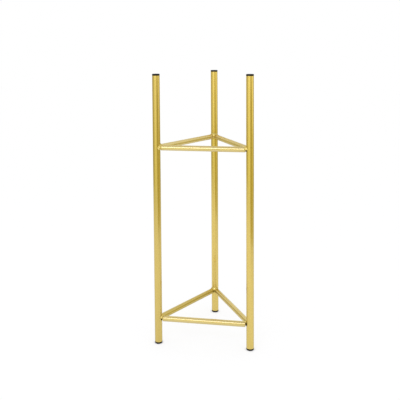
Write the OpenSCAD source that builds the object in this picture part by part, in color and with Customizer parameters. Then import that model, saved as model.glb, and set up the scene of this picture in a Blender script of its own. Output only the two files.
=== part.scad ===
// Three-post plant stand in round tube: two open triangular tiers of three
// rungs each, and a push-in plug at both ends of every post.
// Millimetres. Z is up, the floor is z = 0, and the front rungs face -Y.

/* [Posts] */
// Outer diameter of each post
post_d = 22; // [18:0.5:30]
// Wall thickness of each post
post_wall = 1.2; // [0.8:0.1:2]
// Distance between the centres of any two posts
post_spacing = 272; // [180:2:400]
// Height of each post and its plug above the centre of the upper rungs
post_reach = 215; // [60:5:300]

/* [Tiers] */
// Outer diameter of each rung
rung_d = 16; // [12:0.5:20]
// Wall thickness of each rung
rung_wall = 1; // [0.8:0.1:2]
// Height of the centre of the lower rungs above the floor
lower_tier_h = 74; // [40:1:150]
// Distance between the centres of the lower and the upper rungs
tier_gap = 511; // [200:1:700]

/* [Welds] */
// Depth of the weld's surface below the surface of the rung
weld_recess = 0.5; // [0.2:0.1:0.7]
// Distance from a post to the sawn end of a rung, which the weld fills
weld_gap = 3; // [1:0.1:5]
// How far the weld reaches past the rung's centre, towards its open side
weld_reach = 0.5; // [0:0.1:3]
// How far the open side of the weld faces down from level, in degrees
weld_tilt = 35; // [0:5:60]

/* [Plugs] */
// Thickness of the plug's head, outside the post
plug_head_h = 5; // [2.5:0.5:10]
// Radius of the rounded rim of the head
plug_rim_r = 1.5; // [0.5:0.1:2]
// Length of the plug's stem, inside the post
plug_stem_l = 18; // [10:1:30]
// Wall thickness of the plug's hollow stem
plug_wall = 1.6; // [1:0.1:2.5]
// Number of grip ribs round the stem
rib_count = 3; // [1:1:5]
// Width of each grip rib along the stem
rib_w = 1; // [0.6:0.1:1.4]
// How far each grip rib stands out of the stem
rib_out = 0.5; // [0.2:0.1:1]
// Gap between a grip rib and the bore of the post
plug_clearance = 0.1; // [0.05:0.05:0.3]

/* [Hidden] */
$fn = 72;

// Gap between the sawn ends of two neighbouring rungs where they come closest
end_gap = 0.1;
// Extra length that lets a cutting shape pass right through a face
pass = 1;
// Half of the angle between two sides of the triangle
half_corner = 30;

post_r = post_d / 2;
rung_r = rung_d / 2;
upper_tier_h = lower_tier_h + tier_gap;
stand_h = upper_tier_h + post_reach;
post_l = stand_h - 2 * plug_head_h;

// Corners of the triangle, with the origin midway between front and back
front_y = -post_spacing * sin(60) / 2;
left_xy = [-post_spacing / 2, front_y];
right_xy = [post_spacing / 2, front_y];
back_xy = [0, -front_y];
middle_xy = (left_xy + right_xy + back_xy) / 3;

// Where a rung is sawn square, measured from the centre of the post: it leaves
// room for the weld, and its inner edge stays clear of the neighbouring rung's
rung_end = max(post_r + weld_gap, rung_r / tan(half_corner) + end_gap);
weld_r = rung_r - weld_recess;

// Radii of the plug's stem, from the bore of the post inwards
rib_r = post_r - post_wall - plug_clearance;
stem_r = rib_r - rib_out;
rib_pitch = plug_stem_l / (rib_count + 1);

gold = [0.84, 0.73, 0.38];
weld_gold = [0.78, 0.67, 0.33];
black = [0.12, 0.12, 0.12];

// Round tube standing on the XY plane
module tube(d, wall, l) {
    difference() {
        cylinder(d = d, h = l);
        translate([0, 0, -pass])
            cylinder(d = d - 2 * wall, h = l + 2 * pass);
    }
}

// Upright tube between its two plugs
module post(xy) {
    color(gold)
        translate([xy.x, xy.y, plug_head_h])
            tube(post_d, post_wall, post_l);
}

// Level tube between two posts, sawn square at both ends
module rung(from_xy, to_xy, h) {
    run = to_xy - from_xy;
    color(gold)
        translate([from_xy.x, from_xy.y, h])
            rotate([0, 90, atan2(run.y, run.x)])
                translate([0, 0, rung_end])
                    tube(rung_d, rung_wall, norm(run) - 2 * rung_end);
}

// Weld metal between a post and one rung that leaves along +X with its
// neighbour on the -Y side: it is left open on the outer, lower side
module half_weld() {
    difference() {
        rotate([0, 90, 0])
            cylinder(r = weld_r, h = rung_end);
        rotate([-weld_tilt, 0, 0])
            translate([-pass, weld_reach, -rung_d])
                cube([rung_end + 2 * pass, rung_d, 2 * rung_d]);
    }
}

// Weld that joins a post to both of its rungs in one tier
module corner_weld(xy, h) {
    inward = middle_xy - xy;
    color(weld_gold)
        translate([xy.x, xy.y, h])
            difference() {
                rotate([0, 0, atan2(inward.y, inward.x)])
                    for (side = [0, 1])
                        mirror([0, side, 0])
                            rotate([0, 0, half_corner])
                                half_weld();
                cylinder(r = post_r, h = 2 * rung_d, center = true);
            }
}

// Push-in plug with its head above the XY plane and its hollow stem below:
// a flat head with a rounded rim, and grip ribs round the stem
module plug() {
    rotate_extrude()
        union() {
            difference() {
                square([post_r, plug_head_h]);
                translate([post_r - plug_rim_r, plug_head_h - plug_rim_r])
                    difference() {
                        square(plug_rim_r + pass);
                        circle(plug_rim_r);
                    }
            }
            translate([stem_r - plug_wall, -plug_stem_l])
                square([plug_wall, plug_stem_l]);
            for (i = [1 : rib_count])
                translate([stem_r - plug_wall, -i * rib_pitch - rib_w / 2])
                    square([plug_wall + rib_out, rib_w]);
        }
}

module top_plug(xy) {
    color(black)
        translate([xy.x, xy.y, stand_h - plug_head_h])
            plug();
}

module foot_plug(xy) {
    color(black)
        translate([xy.x, xy.y, plug_head_h])
            mirror([0, 0, 1])
                plug();
}

post(left_xy);  // left_post
post(right_xy);  // right_post
post(back_xy);  // back_post

rung(left_xy, right_xy, lower_tier_h);  // lower_front_rung
rung(left_xy, back_xy, lower_tier_h);  // lower_left_rung
rung(right_xy, back_xy, lower_tier_h);  // lower_right_rung
rung(left_xy, right_xy, upper_tier_h);  // upper_front_rung
rung(left_xy, back_xy, upper_tier_h);  // upper_left_rung
rung(right_xy, back_xy, upper_tier_h);  // upper_right_rung

corner_weld(left_xy, lower_tier_h);  // lower_left_weld
corner_weld(right_xy, lower_tier_h);  // lower_right_weld
corner_weld(back_xy, lower_tier_h);  // lower_back_weld
corner_weld(left_xy, upper_tier_h);  // upper_left_weld
corner_weld(right_xy, upper_tier_h);  // upper_right_weld
corner_weld(back_xy, upper_tier_h);  // upper_back_weld

foot_plug(left_xy);  // left_foot_plug
foot_plug(right_xy);  // right_foot_plug
foot_plug(back_xy);  // back_foot_plug
top_plug(left_xy);  // left_top_plug
top_plug(right_xy);  // right_top_plug
top_plug(back_xy);  // back_top_plug
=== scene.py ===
"""Finish, studio and camera for the plant stand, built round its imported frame.

Everything is in metres, in the frame's own axes: +X right, +Y towards the back
post, +Z up, with the floor at z = 0.
"""
import math
import random

import bmesh
import bpy
from mathutils import Matrix, Vector


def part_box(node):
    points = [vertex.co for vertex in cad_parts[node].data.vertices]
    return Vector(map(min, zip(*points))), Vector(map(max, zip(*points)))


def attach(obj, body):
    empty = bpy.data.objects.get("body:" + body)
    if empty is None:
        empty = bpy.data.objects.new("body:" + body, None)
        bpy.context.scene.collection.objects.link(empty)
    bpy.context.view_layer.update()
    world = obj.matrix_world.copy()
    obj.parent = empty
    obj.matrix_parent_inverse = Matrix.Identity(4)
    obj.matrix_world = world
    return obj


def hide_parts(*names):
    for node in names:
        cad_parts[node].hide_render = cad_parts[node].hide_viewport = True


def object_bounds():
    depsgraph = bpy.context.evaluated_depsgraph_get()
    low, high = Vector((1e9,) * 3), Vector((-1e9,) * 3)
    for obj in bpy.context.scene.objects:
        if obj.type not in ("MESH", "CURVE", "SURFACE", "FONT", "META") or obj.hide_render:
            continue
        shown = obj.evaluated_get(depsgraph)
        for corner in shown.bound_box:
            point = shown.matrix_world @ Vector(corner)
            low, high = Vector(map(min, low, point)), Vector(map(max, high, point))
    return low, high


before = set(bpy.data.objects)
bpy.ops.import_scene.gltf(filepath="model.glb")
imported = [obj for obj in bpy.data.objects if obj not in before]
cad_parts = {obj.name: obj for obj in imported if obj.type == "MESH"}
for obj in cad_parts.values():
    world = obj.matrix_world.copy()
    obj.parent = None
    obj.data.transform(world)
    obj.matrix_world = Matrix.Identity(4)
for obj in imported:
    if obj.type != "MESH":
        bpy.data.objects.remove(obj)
cad_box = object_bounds()

MM = 0.001

# ---------------------------------------------------------------- the frame

SIDES = ("left", "right", "back")
TIERS = ("lower", "upper")
# The two posts that each rung joins
RUNG_POSTS = {"front": ("left", "right"), "left": ("left", "back"), "right": ("right", "back")}
# Half of the angle between two rungs at a post
HALF_CORNER = math.radians(30)


def span(node, axis):
    """Lowest and highest coordinate of a frame node along axis 0, 1 or 2."""
    low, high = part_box(node)
    return low[axis], high[axis]


def half_size(node, axis):
    """Half of a frame node's size along an axis."""
    low, high = span(node, axis)
    return (high - low) / 2


def middle(node):
    """The middle of a frame node's box."""
    low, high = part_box(node)
    return (Vector(low) + Vector(high)) / 2


POST_RADIUS = half_size("left_post", 0)
POST_LOW, POST_HIGH = span("left_post", 2)
POST_XY = {side: middle(f"{side}_post").to_2d() for side in SIDES}
MIDDLE_XY = (POST_XY["left"] + POST_XY["right"] + POST_XY["back"]) / 3
RUNG_RADIUS = half_size("lower_front_rung", 2)
# From the centre of a post to the sawn end of a rung
RUNG_END = span("lower_front_rung", 0)[0] - POST_XY["left"].x
TIER_Z = {tier: middle(f"{tier}_front_rung").z for tier in TIERS}
STAND_TOP = cad_box[1][2]
PLUG_HEAD = STAND_TOP - POST_HIGH
PLUG_STEM = 2 * half_size("left_top_plug", 2) - PLUG_HEAD

# Walls of the tubes, as in part.scad
POST_WALL = 1.2 * MM
RUNG_WALL = 1.0 * MM

# ---------------------------------------------------------------- camera

CAMERA_PLACE = Vector((0.2827, -1.8392, 0.8920))
CAMERA_TURN = math.radians(9.548)  # to the left of straight ahead
CAMERA_PITCH = math.radians(3.909)  # below level
CAMERA_ROLL = math.radians(-0.345)
CAMERA_SENSOR = 36  # mm wide
CAMERA_LENS = 55.14  # mm
CAMERA_SHIFT_Y = -0.2914  # share of the frame


def make_camera():
    """The photograph's own view."""
    data = bpy.data.cameras.new("camera")
    data.sensor_width = CAMERA_SENSOR
    data.lens = CAMERA_LENS
    data.shift_y = CAMERA_SHIFT_Y
    camera = bpy.data.objects.new("camera", data)
    turn = Matrix.Rotation(CAMERA_TURN, 4, "Z")
    pitch = Matrix.Rotation(math.pi / 2 - CAMERA_PITCH, 4, "X")
    roll = Matrix.Rotation(CAMERA_ROLL, 4, "Z")
    camera.matrix_world = Matrix.Translation(CAMERA_PLACE) @ turn @ pitch @ roll
    bpy.context.collection.objects.link(camera)
    bpy.context.scene.camera = camera


# ---------------------------------------------------------------- node trees


class Nodes:
    """Short calls for building the node tree of a material or a world."""

    def __init__(self, owner):
        owner.use_nodes = True
        self.owner = owner
        self.tree = owner.node_tree
        self.shader = self.tree.nodes.get("Principled BSDF")
        self.surface = self.tree.get_output_node("ALL").inputs["Surface"]

    def put(self, socket, value):
        """Links a socket to another, or sets its value."""
        if isinstance(value, bpy.types.NodeSocket):
            self.tree.links.new(value, socket)
        else:
            socket.default_value = value

    def add(self, kind, inputs=None, **settings):
        """A new node; inputs are values or sockets by name or number."""
        node = self.tree.nodes.new(kind)
        for key, value in settings.items():
            setattr(node, key, value)
        for key, value in (inputs or {}).items():
            self.put(node.inputs[key], value)
        return node

    def set(self, **inputs):
        """Inputs of the main shader, by name with _ for a space."""
        for key, value in inputs.items():
            self.put(self.shader.inputs[key.replace("_", " ")], value)

    def place(self, kind="Object"):
        """The piece's own coordinates, in metres, or another kind of them."""
        return self.add("ShaderNodeTexCoord").outputs[kind]

    def split(self, vector):
        """The X, Y and Z of a vector, by name."""
        return self.add("ShaderNodeSeparateXYZ", {0: vector}).outputs

    def distance(self, place, point):
        """How far a place is from a point."""
        node = self.add("ShaderNodeVectorMath", {0: place, 1: point}, operation="DISTANCE")
        return node.outputs["Value"]

    def noise(self, scale, detail=2.0, stretch=(1, 1, 1)):
        """Noise from 0 to 1 with scale in features a metre, drawn out by stretch."""
        mapping = self.add("ShaderNodeMapping", {"Vector": self.place(), "Scale": stretch})
        inputs = {"Vector": mapping.outputs["Vector"], "Scale": scale, "Detail": detail}
        return self.add("ShaderNodeTexNoise", inputs).outputs["Fac"]

    def spread(self, value, low, high, start=0.3, stop=0.7):
        """Turns start..stop into low..high."""
        inputs = {"Value": value, "From Min": start, "From Max": stop, "To Min": low, "To Max": high}
        return self.add("ShaderNodeMapRange", inputs).outputs["Result"]

    def math(self, operation, first, second):
        """A sum, product or other result of two numbers."""
        return self.add("ShaderNodeMath", {0: first, 1: second}, operation=operation).outputs[0]

    def mix(self, factor, first, second):
        """A blend of two colours."""
        node = self.add("ShaderNodeMix", data_type="RGBA")
        self.put(node.inputs[0], factor)
        self.put(node.inputs[6], first)
        self.put(node.inputs[7], second)
        return node.outputs[2]

    def blend(self, factor, first, second):
        """A blend of two numbers."""
        node = self.add("ShaderNodeMix", data_type="FLOAT")
        self.put(node.inputs[0], factor)
        self.put(node.inputs[2], first)
        self.put(node.inputs[3], second)
        return node.outputs[0]

    def bump(self, height, depth, under=None):
        """Bumps depth metres deep, on top of the bumps under them."""
        inputs = {"Height": height, "Distance": depth}
        if under is not None:
            inputs["Normal"] = under
        return self.add("ShaderNodeBump", inputs).outputs["Normal"]


# ---------------------------------------------------------------- materials

# Each coat of lacquer drifts between two tones. The other copies are the same lacquer in lit and shaded
# tones: painted light, painted shade and a painted paler sheen
GOLD = ((0.722, 0.545, 0.147, 1), (0.694, 0.520, 0.128, 1))
# Lighter copy, painted light: for the right and back posts, which stand more in the light
PAINTED_LIGHT_GOLD = ((0.803, 0.608, 0.160, 1), (0.772, 0.579, 0.139, 1))
# Deeper copy, painted shade: for the lower left rung
PAINTED_SHADE_GOLD = ((0.625, 0.476, 0.118, 1), (0.600, 0.453, 0.104, 1))
# Paler copy, a painted paler sheen: for the other rungs
PAINTED_SHEEN_GOLD = ((0.760, 0.610, 0.245, 1), (0.730, 0.580, 0.215, 1))
WELD_GOLD = ((0.745, 0.575, 0.145, 1), (0.660, 0.505, 0.115, 1))
# The tinted lacquer dulls the metal where it is seen at a glancing angle
GOLD_EDGE = (0.58, 0.50, 0.18, 1)
GOLD_METALLIC = 0.95
GOLD_ROUGHNESS = 0.22
COAT_ROUGHNESS = 0.1

# The toe of a weld, low in the notch between its two rungs, from the axis of the post
TOE = Vector((RUNG_END + 4.0 * MM, 0, -0.8 * MM))
# Painted shade: a dark colour mixed into the weld round its toe, in the crease under the rungs
PAINTED_CROTCH_SHADE = (0.240, 0.190, 0.012, 1)
CROTCH_SHADE_SHARE = 0.9  # how much of the toe's colour is painted shade
CROTCH_SHADE_REACH = (4.2 * MM, 5.4 * MM)  # from the toe, where the painted shade starts to fade and where it ends

# Sizes of the lacquer's features, as the number of them in a metre
DRIFT_SCALE = 14
LINE_SCALE = 700
LINE_STRETCH = (1, 1, 0.01)  # the lines are drawn along the tube
GRAIN_SCALE = 2800
PEEL_SCALE = 900
# How far the lines and the grain take the roughness up and down
LINE_ROUGHNESS = 0.02
GRAIN_ROUGHNESS = 0.015
# Depth of the orange peel, and of the grain as a share of it
TUBE_PEEL = 0.001 * MM
WELD_PEEL = 0.004 * MM
GRAIN_DEPTH = 0.1

# The plastic drifts between two tones too, in patches, and has a spark-eroded grain
BLACKS = ((0.004, 0.004, 0.004, 1), (0.007, 0.0065, 0.006, 1))
BLACK_ROUGHNESS = (0.42, 0.58)
BLACK_SPECULAR = 0.16
SPARK_SCALE = 2400
SPARK_DEPTH = 0.02 * MM
PATCH_SCALE = 180


def gold_material(name, tones, peel=TUBE_PEEL, crotch_shade=0):
    """Satin gold lacquer; the last argument is how much painted shade darkens a weld's toe in the notch.
    """
    m = Nodes(bpy.data.materials.new(name))
    colour = m.mix(m.spread(m.noise(DRIFT_SCALE, detail=3), 0, 1), *tones)
    # painted shade in the crease round the toe of a weld
    if crotch_shade:
        crotch_shade_mask = m.spread(m.distance(m.place(), TOE), crotch_shade, 0, *CROTCH_SHADE_REACH)
        colour = m.mix(crotch_shade_mask, colour, PAINTED_CROTCH_SHADE)
    lines = m.noise(LINE_SCALE, stretch=LINE_STRETCH)
    grain = m.noise(GRAIN_SCALE)
    m.set(Base_Color=colour, Metallic=GOLD_METALLIC, Specular_Tint=GOLD_EDGE)
    lined = m.spread(lines, GOLD_ROUGHNESS - LINE_ROUGHNESS, GOLD_ROUGHNESS + LINE_ROUGHNESS)
    m.set(Roughness=m.math("ADD", lined, m.spread(grain, -GRAIN_ROUGHNESS, GRAIN_ROUGHNESS)))
    dimples = m.bump(m.noise(PEEL_SCALE, detail=1), peel)
    m.set(Normal=m.bump(grain, GRAIN_DEPTH * peel, under=dimples))
    m.set(Coat_Weight=1.0, Coat_Roughness=COAT_ROUGHNESS)
    return m.owner


def plastic_material():
    """Moulded black plastic with a fine spark-eroded grain."""
    m = Nodes(bpy.data.materials.new("black_plastic"))
    grain = m.noise(SPARK_SCALE, detail=3)
    patch = m.spread(m.noise(PATCH_SCALE), 0, 1)
    m.set(Base_Color=m.mix(patch, *BLACKS))
    m.set(Roughness=m.spread(grain, *BLACK_ROUGHNESS), Normal=m.bump(grain, SPARK_DEPTH))
    m.set(Specular_IOR_Level=BLACK_SPECULAR)
    return m.owner


# ---------------------------------------------------------------- meshes

ROUND = 96  # faces round a tube
SHARP = math.radians(40)  # an edge that turns more than this stays sharp


def add_piece(mesh, material, name, place=Matrix()):
    """A new object in the scene."""
    piece = bpy.data.objects.new(name, mesh)
    piece.matrix_world = place
    mesh.materials.append(material)
    bpy.context.collection.objects.link(piece)
    return piece


def stand_for(piece, node):
    """Lets a piece take the place of one of the frame's nodes."""
    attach(piece, "root")
    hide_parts(node)


def new_mesh(bm, name):
    """A smooth mesh with sharp edges, made from a bmesh that it uses up."""
    bmesh.ops.recalc_face_normals(bm, faces=bm.faces)
    mesh = bpy.data.meshes.new(name)
    bm.to_mesh(mesh)
    bm.free()
    mesh.shade_smooth()
    mesh.set_sharp_from_angle(angle=SHARP)
    return mesh


def arc(centre, radius, start, stop, steps=6):
    """Points (radius, height) round a centre, from start to stop in degrees."""
    angles = [math.radians(start + (stop - start) * i / steps) for i in range(steps + 1)]
    return [(centre[0] + radius * math.cos(a), centre[1] + radius * math.sin(a)) for a in angles]


def lathe(profile, name):
    """A closed outline of (radius, height) points turned about Z; radius 0 is a pole."""
    bm = bmesh.new()
    rings = []
    for radius, height in profile:
        angles = [math.tau * i / ROUND for i in range(ROUND if radius else 1)]
        points = [(radius * math.cos(a), radius * math.sin(a), height) for a in angles]
        rings.append([bm.verts.new(point) for point in points])
    for lower, upper in zip(rings, rings[1:] + rings[:1]):
        if len(lower) == len(upper) == 1:
            continue
        for i in range(ROUND):
            j = (i + 1) % ROUND
            below = (lower[i % len(lower)], lower[j % len(lower)])
            above = (upper[j % len(upper)], upper[i % len(upper)])
            bm.faces.new(dict.fromkeys(below + above))
    return new_mesh(bm, name)


# ---------------------------------------------------------------- tubes

LIP = 0.45 * MM  # radius of the deburred edges at a sawn end


def tube_profile(radius, wall, length):
    """Outline of a tube that stands on z = 0."""
    outer = radius - LIP
    inner = radius - wall + LIP
    bottom = arc((inner, LIP), LIP, 180, 270) + arc((outer, LIP), LIP, 270, 360)
    top = arc((outer, length - LIP), LIP, 0, 90) + arc((inner, length - LIP), LIP, 90, 180)
    return bottom + top


def make_post(side, material):
    """The upright tube on one side."""
    mesh = lathe(tube_profile(POST_RADIUS, POST_WALL, POST_HIGH - POST_LOW), f"{side}_upright")
    place = Matrix.Translation((*POST_XY[side], POST_LOW))
    stand_for(add_piece(mesh, material, mesh.name, place), f"{side}_post")


def make_rung(tier, side, material):
    """The level tube on one side of a tier."""
    start, stop = (POST_XY[post] for post in RUNG_POSTS[side])
    run = stop - start
    mesh = lathe(tube_profile(RUNG_RADIUS, RUNG_WALL, run.length - 2 * RUNG_END), f"{tier}_{side}_bar")
    turn = Matrix.Rotation(math.atan2(run.y, run.x), 4, "Z") @ Matrix.Rotation(math.pi / 2, 4, "Y")
    place = Matrix.Translation((*start, TIER_Z[tier])) @ turn @ Matrix.Translation((0, 0, RUNG_END))
    stand_for(add_piece(mesh, material, mesh.name, place), f"{tier}_{side}_rung")


# ---------------------------------------------------------------- plugs

RIM = 1.5 * MM  # radius of the head's rounded edge
PLUG_CLEARANCE = 0.1 * MM  # from a grip rib to the bore of the post
RIB_COUNT = 3
RIB_WIDTH = 1.0 * MM
RIB_OUT = 0.5 * MM
RIB_ARC = 80  # degrees of a rib's rounding, above and below its middle
RIB_RADIUS = POST_RADIUS - POST_WALL - PLUG_CLEARANCE
STEM_RADIUS = RIB_RADIUS - RIB_OUT
STEM_WALL = 1.6 * MM
SHADOW_GROOVE = 0.3 * MM
GATE_RADIUS = 2.2 * MM
GATE_DEPTH = 0.25 * MM
PLUG_STEPS = 8  # faces along each of a plug's arcs


def plug_profile():
    """Outline of a plug, with its head above z = 0 and its ribbed stem below."""
    gate = [(0, PLUG_HEAD - GATE_DEPTH), (GATE_RADIUS - GATE_DEPTH, PLUG_HEAD - GATE_DEPTH)]
    rim = arc((POST_RADIUS - RIM, PLUG_HEAD - RIM), RIM, 90, 0, PLUG_STEPS)
    groove = [(POST_RADIUS, SHADOW_GROOVE), (POST_RADIUS - SHADOW_GROOVE, 0), (STEM_RADIUS, 0)]
    ribs = []
    for i in range(RIB_COUNT):
        height = -PLUG_STEM * (i + 1) / (RIB_COUNT + 1)
        ribs.append((STEM_RADIUS, height + RIB_WIDTH / 2))
        ribs += arc((STEM_RADIUS, height), RIB_RADIUS - STEM_RADIUS, RIB_ARC, -RIB_ARC, PLUG_STEPS)
        ribs.append((STEM_RADIUS, height - RIB_WIDTH / 2))
    half_wall = STEM_WALL / 2
    tip = arc((STEM_RADIUS - half_wall, -PLUG_STEM + half_wall), half_wall, 0, -180, PLUG_STEPS)
    inside = [(STEM_RADIUS - STEM_WALL, 0), (0, 0)]
    return gate + [(GATE_RADIUS, PLUG_HEAD)] + rim + groove + ribs + tip + inside


def make_plugs(side, material):
    """The plugs at the top and at the foot of one post."""
    top = Matrix.Translation((*POST_XY[side], POST_HIGH))
    foot = Matrix.Translation((*POST_XY[side], POST_LOW)) @ Matrix.Rotation(math.pi, 4, "X")
    for end, place in (("top", top), ("foot", foot)):
        mesh = lathe(plug_profile(), f"{side}_{end}_cap")
        stand_for(add_piece(mesh, material, mesh.name, place), f"{side}_{end}_plug")


# ---------------------------------------------------------------- welds

# How far each joint's beads run round the rungs, in degrees: 0 is the side that
# faces the neighbouring rung, 90 the top and 180 the outer side
WELD_RUNS = {
    "lower left": (-45, 150),
    "lower right": (-45, 110),
    "lower back": (-15, 122),
    "upper left": (-45, 205),
    "upper right": (-45, 176),
    "upper back": (-15, 158),
}
SINK = 0.3 * MM  # how deep the weld metal goes into the post and the rungs
# The ripples of a bead
BEAD_STEP = 10  # degrees between two of them
BEAD_CLIMB = 2.0 * MM  # how far they climb the post above the rung
BEAD_LAP = 1.5 * MM  # how far they run over the end of the rung
BEAD_HALF_WIDTH = 1.25 * MM
BEAD_HALF_THICKNESS = 1.35 * MM
# Chance takes them, and the saddle's ripples, down and up within these shares
CLIMB_SHARES = (0.75, 1.2)
LAP_SHARES = (0.8, 1.2)
SIZE_SHARES = (0.9, 1.1)
# The core under a bead
CORE_RADIUS = RUNG_RADIUS - 0.6 * MM
CORE_START = 0.7 * POST_RADIUS  # within the post, where all weld metal is cut away
CORE_STEP = 5  # degrees between its edges
# The saddle: the run of metal in the notch between two rungs
SADDLE_RIPPLES = 5
SADDLE_LAYERS = 3
SADDLE_HALF_SIZE = 1.5 * MM  # half of a ripple's width and thickness, and the step between layers
SADDLE_CLIMB = 3.0 * MM  # how far it climbs the post above the rungs
SADDLE_FOOT = Vector((RUNG_END + 1.4 * MM, 0, 4.5 * MM))  # from the middle of the joint
SADDLE_HALF_WIDTHS = (4.2 * MM, 1.8 * MM)  # at its top and at its foot
# Half of the length, width and thickness of the pools at its middle and at the toe
POOL_HALF_SIZES = (5.4 * MM, 5.2 * MM, 2.1 * MM)
TOE_HALF_SIZES = (3.8 * MM, 4.2 * MM, 2.0 * MM)
# Subdivisions of the spheres that ripples and pools are made from
RIPPLE_DETAIL = 2
POOL_DETAIL = 4
# The mesh of the whole weld
VOXEL = 0.35 * MM
SMOOTH_SHARE = 0.5  # how far a round moves a point towards its neighbours' middle
SMOOTH_ROUNDS = 2
SLIVER = 0.02 * MM  # points that lie this close become one
CLEAN_ROUNDS = 6


def add_ellipsoid(bm, place, half_sizes, detail):
    """A solid ellipsoid along the axes of a place."""
    matrix = place @ Matrix.Diagonal((*half_sizes, 1))
    bmesh.ops.create_icosphere(bm, subdivisions=detail, radius=1, matrix=matrix)


def add_ripple(bm, start, stop, across, half_width, half_thickness):
    """One solid ripple of weld metal: an ellipsoid from start to stop."""
    along = stop - start
    out = along.cross(across).normalized()
    side = out.cross(along).normalized()
    turn = Matrix((along.normalized(), side, out)).transposed().to_4x4()
    half_sizes = (along.length / 2 + half_thickness / 2, half_width, half_thickness)
    add_ellipsoid(bm, Matrix.Translation((start + stop) / 2) @ turn, half_sizes, RIPPLE_DETAIL)


def on_post(y, z):
    """The point of the post's surface at y and z, on the side of the rung."""
    return Vector((math.sqrt(max(POST_RADIUS**2 - y**2, 0)), y, z))


def add_bead(bm, run, chance):
    """The bead round the end of a rung that leaves along +X, with its neighbour on the -Y side."""
    start, stop = run
    for i in range(round((stop - start) / BEAD_STEP) + 1):
        angle = math.radians(start + BEAD_STEP * i)
        ray = Vector((0, -math.cos(angle), math.sin(angle)))
        across = Vector((0, math.sin(angle), math.cos(angle)))
        climb = ray * (RUNG_RADIUS + BEAD_CLIMB * chance.uniform(*CLIMB_SHARES))
        lap = ray * (RUNG_RADIUS - SINK)
        lap.x = RUNG_END + BEAD_LAP * chance.uniform(*LAP_SHARES)
        half_thickness = BEAD_HALF_THICKNESS * chance.uniform(*SIZE_SHARES)
        add_ripple(bm, on_post(climb.y, climb.z), lap, across, BEAD_HALF_WIDTH, half_thickness)


def add_core(bm, run):
    """The weld metal inside the bead: a round bar with the open side left out."""
    start, stop = run
    angles = [math.radians(a) for a in range(start, stop + 1, CORE_STEP)]
    ring = [(-CORE_RADIUS * math.cos(a), CORE_RADIUS * math.sin(a)) for a in angles]
    near, far = ([bm.verts.new((x, *point)) for point in ring] for x in (CORE_START, RUNG_END + SINK))
    bm.faces.new(near)
    bm.faces.new(reversed(far))
    for i in range(len(ring)):
        j = (i + 1) % len(ring)
        bm.faces.new((near[i], far[i], far[j], near[j]))


def add_half(bm, run, hand, chance):
    """The weld metal at the rung that leaves on the +Y side, or on the -Y side where hand is -1."""
    half = bmesh.new()
    add_bead(half, run, chance)
    add_core(half, run)
    bmesh.ops.recalc_face_normals(half, faces=half.faces)
    half.transform(Matrix.Diagonal((1, hand, 1, 1)) @ Matrix.Rotation(HALF_CORNER, 4, "Z"))
    if hand < 0:
        bmesh.ops.reverse_faces(half, faces=half.faces)
    part = bpy.data.meshes.new("half")
    half.to_mesh(part)
    half.free()
    bm.from_mesh(part)
    bpy.data.meshes.remove(part)


def add_saddle(bm, chance):
    """The run of weld metal down the notch between the two rungs, rippled across, and its toe."""
    top = Vector((POST_RADIUS, 0, RUNG_RADIUS + SADDLE_CLIMB))
    down = (SADDLE_FOOT - top).normalized()
    inward = Vector((down.z, 0, -down.x))
    wide, narrow = SADDLE_HALF_WIDTHS
    for i in range(SADDLE_RIPPLES):
        share = i / (SADDLE_RIPPLES - 1)
        half = Vector((0, (wide + (narrow - wide) * share) * chance.uniform(*SIZE_SHARES), 0))
        for layer in range(SADDLE_LAYERS):
            centre = top.lerp(SADDLE_FOOT, share) + inward * SADDLE_HALF_SIZE * layer
            add_ripple(bm, centre - half, centre + half, down, SADDLE_HALF_SIZE, SADDLE_HALF_SIZE)
    turn = Matrix((down, Vector((0, 1, 0)), -inward)).transposed().to_4x4()
    halfway = Matrix.Translation(top.lerp(SADDLE_FOOT, 0.5)) @ turn
    add_ellipsoid(bm, halfway, POOL_HALF_SIZES, POOL_DETAIL)
    add_ellipsoid(bm, Matrix.Translation(TOE), TOE_HALF_SIZES, POOL_DETAIL)


def shells(bm):
    """Lists of the faces that hang together."""
    seen = set()
    for first in bm.faces:
        if first not in seen:
            seen.add(first)
            shell = [first]
            for face in shell:
                around = [other for edge in face.edges for other in edge.link_faces if other not in seen]
                seen.update(around)
                shell += dict.fromkeys(around)
            yield shell


def clean(mesh):
    """Leaves one closed shell, without slivers, flakes or edges that more than two faces share."""
    bm = bmesh.new()
    bm.from_mesh(mesh)
    bmesh.ops.remove_doubles(bm, verts=bm.verts, dist=SLIVER)
    bmesh.ops.dissolve_degenerate(bm, edges=bm.edges, dist=SLIVER)
    for _ in range(CLEAN_ROUNDS):
        bmesh.ops.triangulate(bm, faces=bm.faces)
        pinched = [v for v in bm.verts if any(len(edge.link_faces) != 2 for edge in v.link_edges)]
        if not pinched:
            break
        bmesh.ops.delete(bm, geom=pinched, context="VERTS")
        bmesh.ops.holes_fill(bm, edges=bm.edges)
    main = set(max(shells(bm), key=len))
    bmesh.ops.delete(bm, geom=[face for face in bm.faces if face not in main], context="FACES")
    bmesh.ops.recalc_face_normals(bm, faces=bm.faces)
    bm.to_mesh(mesh)
    bm.free()


def solid_from(parts, post):
    """One closed, softened mesh made from overlapping solids, cut away inside the post."""
    shape = bpy.data.objects.new("shape", parts)
    cutter = bpy.data.objects.new("cutter", post)
    for item in (shape, cutter):
        bpy.context.collection.objects.link(item)
    remesh = shape.modifiers.new("remesh", "REMESH")
    remesh.mode = "VOXEL"
    remesh.voxel_size = VOXEL
    smooth = shape.modifiers.new("smooth", "SMOOTH")
    smooth.factor = SMOOTH_SHARE
    smooth.iterations = SMOOTH_ROUNDS
    cut = shape.modifiers.new("cut", "BOOLEAN")
    cut.operation = "DIFFERENCE"
    cut.object = cutter
    cut.solver = "EXACT"
    bpy.context.view_layer.update()
    finished = shape.evaluated_get(bpy.context.evaluated_depsgraph_get())
    mesh = bpy.data.meshes.new_from_object(finished)
    for item in (shape, cutter):
        bpy.data.objects.remove(item)
    clean(mesh)
    return mesh


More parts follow.
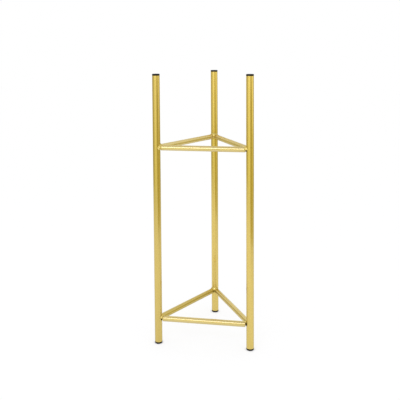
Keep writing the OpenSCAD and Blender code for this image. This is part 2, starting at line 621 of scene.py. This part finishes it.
def make_weld(tier, side, material):
    """The weld that joins a post to both of its rungs in one tier."""
    chance = random.Random(f"{tier} {side}")
    bm = bmesh.new()
    for hand in (1, -1):
        add_half(bm, WELD_RUNS[f"{tier} {side}"], hand, chance)
    add_saddle(bm, chance)
    parts = bpy.data.meshes.new("parts")
    bm.to_mesh(parts)
    bm.free()
    bore = POST_RADIUS - SINK
    reach = 2 * RUNG_RADIUS
    post = lathe([(0, -reach), (bore, -reach), (bore, reach), (0, reach)], "post")
    mesh = solid_from(parts, post)
    mesh.name = f"{tier}_{side}_bead"
    mesh.materials.clear()
    mesh.shade_smooth()
    inward = MIDDLE_XY - POST_XY[side]
    turn = Matrix.Rotation(math.atan2(inward.y, inward.x), 4, "Z")
    place = Matrix.Translation((*POST_XY[side], TIER_Z[tier])) @ turn
    stand_for(add_piece(mesh, material, mesh.name, place), f"{tier}_{side}_weld")


# ---------------------------------------------------------------- studio

WHITE = (1, 1, 1, 1)
# How bright reflections find the world, low down and right overhead, and the heights over which the
# one turns into the other, as the sine of the angle above level
SKY_STRENGTHS = (0.92, 0.62)
SKY_HEIGHTS = (0.85, 1.0)

FLOOR_HALF = 9
# What reflections find on the floor, near the stand and far off, and the distances over which the one
# turns into the other. The far tone is darker and browner; its darkness is a painted fall-off of the
# floor's light
PAPER = ((0.94, 0.94, 0.94, 1), (0.73, 0.72, 0.52, 1))
PAPER_REACH = (1.0, 1.9)
# They find it dimmer by these factors under the stand, a painted shadow of the stand, and on its right,
# painted shade; each changes over its reach
UNDER_DIM = 0.91
UNDER_REACH = (0.2, 0.5)
RIGHT_DIM = 0.86
RIGHT_REACH = (0.2, 0.7)
# How much of the floor's white is its own light, which keeps its shadows faint: beside a foot, where
# the shadow shows, and beyond the foot's reach
GLOW_SHARES = (0.1, 0.8)
FOOT_REACH = (POST_RADIUS, POST_RADIUS + 7 * MM)

# What the tubes reflect round them: (azimuth, colour, cover), with azimuth 0 in front, 90 to the right
ROOM_STOPS = (
    (-180, (1.00, 1.00, 1.00), 1),
    (-142, (1.00, 1.00, 1.00), 1),
    (-118, (0.62, 0.58, 0.38), 1),
    (-82, (0.54, 0.51, 0.32), 1),
    (-48, (0.88, 0.86, 0.62), 1),
    (-18, (1.16, 1.14, 0.88), 1),
    (18, (0.80, 0.75, 0.48), 1),
    (50, (0.70, 0.64, 0.38), 1),
    (86, (1.20, 1.17, 0.94), 1),
    (112, (0.76, 0.72, 0.52), 1),
    (128, (0.70, 0.66, 0.48), 1),
    (145, (1.00, 1.00, 1.00), 1),
    (179, (1.00, 1.00, 1.00), 1),
)
BROWN = (0.55, 0.48, 0.16)
GREY_BROWN = (0.56, 0.51, 0.30)
RIGHT_FLAG_STOPS = ((16, BROWN, 0), (30, BROWN, 1), (58, BROWN, 1), (74, BROWN, 0))
SIDE_FLAG_STOPS = ((58, BROWN, 0), (74, BROWN, 0.6), (110, BROWN, 0.6), (132, BROWN, 0))
BACK_FLAG_STOPS = ((98, GREY_BROWN, 0), (116, GREY_BROWN, 1), (140, GREY_BROWN, 1), (156, GREY_BROWN, 0))
# The cards are tinted from the first colour to the second between these two heights
TINT_HEIGHTS = (0.1, 0.7)
ROOM_TINTS = ((0.84, 0.84, 0.60, 1), (1.00, 1.00, 1.00, 1))
FLAG_TINTS = ((0.92, 0.90, 0.60, 1), (0.88, 0.88, 0.88, 1))
CARD_STEP = 6  # degrees that one face of a card spans at most


def make_world():
    """White light all round; reflections find it a little greyer overhead."""
    world = bpy.data.worlds.new("studio")
    bpy.context.scene.world = world
    m = Nodes(world)
    height = m.split(m.place("Generated"))["Z"]
    overhead = m.spread(height, *SKY_STRENGTHS, *SKY_HEIGHTS)
    glossy = m.add("ShaderNodeLightPath").outputs["Is Glossy Ray"]
    glow = m.add("ShaderNodeBackground", {"Color": WHITE, "Strength": m.blend(glossy, 1.0, overhead)})
    m.put(m.surface, glow.outputs[0])


def make_floor():
    """White floor that keeps a faint shadow; in reflections it has a painted shadow under the stand,
    painted shade on its right, and a painted fall-off, browner, far off.
    """
    mesh = bpy.data.meshes.new("floor")
    h = FLOOR_HALF
    mesh.from_pydata([(-h, -h, 0), (h, -h, 0), (h, h, 0), (-h, h, 0)], [], [(0, 1, 2, 3)])
    m = Nodes(bpy.data.materials.new("white_floor"))
    place = m.place()
    from_middle = m.distance(place, (0, 0, 0))
    paper = m.mix(m.spread(from_middle, 0, 1, *PAPER_REACH), *PAPER)
    # painted shadow under the stand and painted shade on its right, seen only in reflections
    under = m.spread(from_middle, UNDER_DIM, 1, *UNDER_REACH)
    right = m.spread(m.split(place)["X"], 1, RIGHT_DIM, *RIGHT_REACH)
    inputs = {0: paper, "Scale": m.math("MULTIPLY", under, right)}
    reflected = m.add("ShaderNodeVectorMath", inputs, operation="SCALE").outputs["Vector"]
    ray = m.add("ShaderNodeLightPath").outputs
    glow = m.add("ShaderNodeEmission", {"Color": m.mix(ray["Is Camera Ray"], reflected, WHITE)})
    matt = m.add("ShaderNodeBsdfDiffuse", {"Color": WHITE})
    seen = m.math("MAXIMUM", ray["Is Camera Ray"], ray["Is Glossy Ray"])
    seen = m.math("MAXIMUM", seen, ray["Is Transmission Ray"])
    to_left, to_right, to_back = (m.distance(place, (*POST_XY[side], 0)) for side in SIDES)
    to_foot = m.math("MINIMUM", m.math("MINIMUM", to_left, to_right), to_back)
    share = m.math("MULTIPLY", seen, m.spread(to_foot, *GLOW_SHARES, *FOOT_REACH))
    both = m.add("ShaderNodeMixShader", {0: share, 1: matt.outputs[0], 2: glow.outputs[0]})
    m.put(m.surface, both.outputs[0])
    add_piece(mesh, m.owner, "floor")


def round_point(azimuth, distance, height):
    """A point round the middle of the stand."""
    a = math.radians(azimuth)
    return Vector((distance * math.sin(a), -distance * math.cos(a), height))


def make_softbox(name, azimuth, distance, height, size, radiance, colour):
    """A soft lamp that faces the middle of the stand."""
    place = Matrix.Translation((*MIDDLE_XY, 0)) @ round_point(azimuth, distance, height)
    data = bpy.data.lights.new(name, "AREA")
    data.shape = "RECTANGLE"
    data.size, data.size_y = size
    data.energy = radiance * math.pi * data.size * data.size_y
    data.color = colour
    lamp = bpy.data.objects.new(name, data)
    target = Vector((*MIDDLE_XY, STAND_TOP / 2))
    turn = (target - place).to_track_quat("-Z", "Y").to_matrix().to_4x4()
    lamp.matrix_world = Matrix.Translation(place) @ turn
    lamp.visible_camera = False
    bpy.context.collection.objects.link(lamp)


def card_material(name, stops, tints, top, feather):
    """A glow that changes with the azimuth and fades out over the feather below the top."""
    m = Nodes(bpy.data.materials.new(name))
    place = m.split(m.place())
    azimuth = m.math("ARCTAN2", place["X"], m.math("MULTIPLY", place["Y"], -1))
    turn = m.spread(azimuth, 0, 1, start=-math.pi, stop=math.pi)
    ramp = m.add("ShaderNodeValToRGB", {"Fac": turn})
    elements = ramp.color_ramp.elements
    while len(elements) < len(stops):
        elements.new(1)
    for element, (degrees, colour, cover) in zip(elements, stops):
        element.position = degrees / 360 + 0.5
        element.color = (*colour, cover)
    tint = m.mix(m.spread(place["Z"], 0, 1, *TINT_HEIGHTS), *tints)
    tinted = m.add("ShaderNodeVectorMath", {0: ramp.outputs["Color"], 1: tint}, operation="MULTIPLY")
    glow = m.add("ShaderNodeEmission", {"Color": tinted.outputs["Vector"]})
    clear = m.add("ShaderNodeBsdfTransparent")
    share = m.math("MULTIPLY", ramp.outputs["Alpha"], m.spread(place["Z"], 1, 0, top - feather, top))
    both = m.add("ShaderNodeMixShader", {0: share, 1: clear.outputs[0], 2: glow.outputs[0]})
    m.put(m.surface, both.outputs[0])
    return m.owner


def make_card(name, stops, tints, distance, top, feather):
    """A round card about the stand that only reflections show."""
    start, stop = stops[0][0], stops[-1][0]
    steps = math.ceil((stop - start) / CARD_STEP)
    verts = []
    for i in range(steps + 1):
        azimuth = start + (stop - start) * i / steps
        verts += [round_point(azimuth, distance, 0), round_point(azimuth, distance, top)]
    faces = [(2 * i, 2 * i + 2, 2 * i + 3, 2 * i + 1) for i in range(steps)]
    mesh = bpy.data.meshes.new(name)
    mesh.from_pydata(verts, [], faces)
    material = card_material(f"{name}_glow", stops, tints, top, feather)
    card = add_piece(mesh, material, name, Matrix.Translation((*MIDDLE_XY, 0)))
    card.visible_camera = False
    card.visible_diffuse = False
    card.visible_shadow = False


def make_studio():
    """The world, the floor, the lamp and the cards."""
    make_world()
    make_floor()
    make_softbox(
        "front_softbox", azimuth=-10, distance=1.38, height=1.25,
        size=(1.2, 0.36), radiance=2.1, colour=(0.93, 0.98, 1.65),
    )
    make_card("room", ROOM_STOPS, ROOM_TINTS, distance=2.2, top=1.7, feather=0.4)
    make_card("right_flag", RIGHT_FLAG_STOPS, FLAG_TINTS, distance=1.05, top=0.82, feather=0.06)
    make_card("side_flag", SIDE_FLAG_STOPS, ROOM_TINTS, distance=1.0, top=0.62, feather=0.1)
    make_card("back_flag", BACK_FLAG_STOPS, ROOM_TINTS, distance=2.0, top=1.1, feather=0.5)


# ---------------------------------------------------------------- build

bpy.context.scene.view_settings.view_transform = "Standard"
make_camera()
gold = gold_material("satin_gold", GOLD)
# lit and shaded copies of the one lacquer: painted light, painted shade and a painted paler sheen
gold_with_painted_light = gold_material("satin_gold_painted_light", PAINTED_LIGHT_GOLD)
gold_with_painted_shade = gold_material("satin_gold_painted_shade", PAINTED_SHADE_GOLD)
gold_with_painted_sheen = gold_material("satin_gold_painted_sheen", PAINTED_SHEEN_GOLD)
weld_golds = {
    # the lower welds carry painted shade at the toe
    "lower": gold_material("satin_gold_weld_painted_shade", WELD_GOLD, WELD_PEEL, CROTCH_SHADE_SHARE),
    "upper": gold_material("bright_gold_weld", WELD_GOLD, WELD_PEEL),
}
plastic = plastic_material()
for side in SIDES:
    # the right and back posts take the copy with painted light
    make_post(side, gold if side == "left" else gold_with_painted_light)
    make_plugs(side, plastic)
for tier in TIERS:
    for side in RUNG_POSTS:
        # the lower left rung takes the copy with painted shade, the other rungs the one with a painted
        # paler sheen
        make_rung(tier, side, gold_with_painted_shade if (tier, side) == ("lower", "left") else gold_with_painted_sheen)
    for side in SIDES:
        make_weld(tier, side, weld_golds[tier])
make_studio()
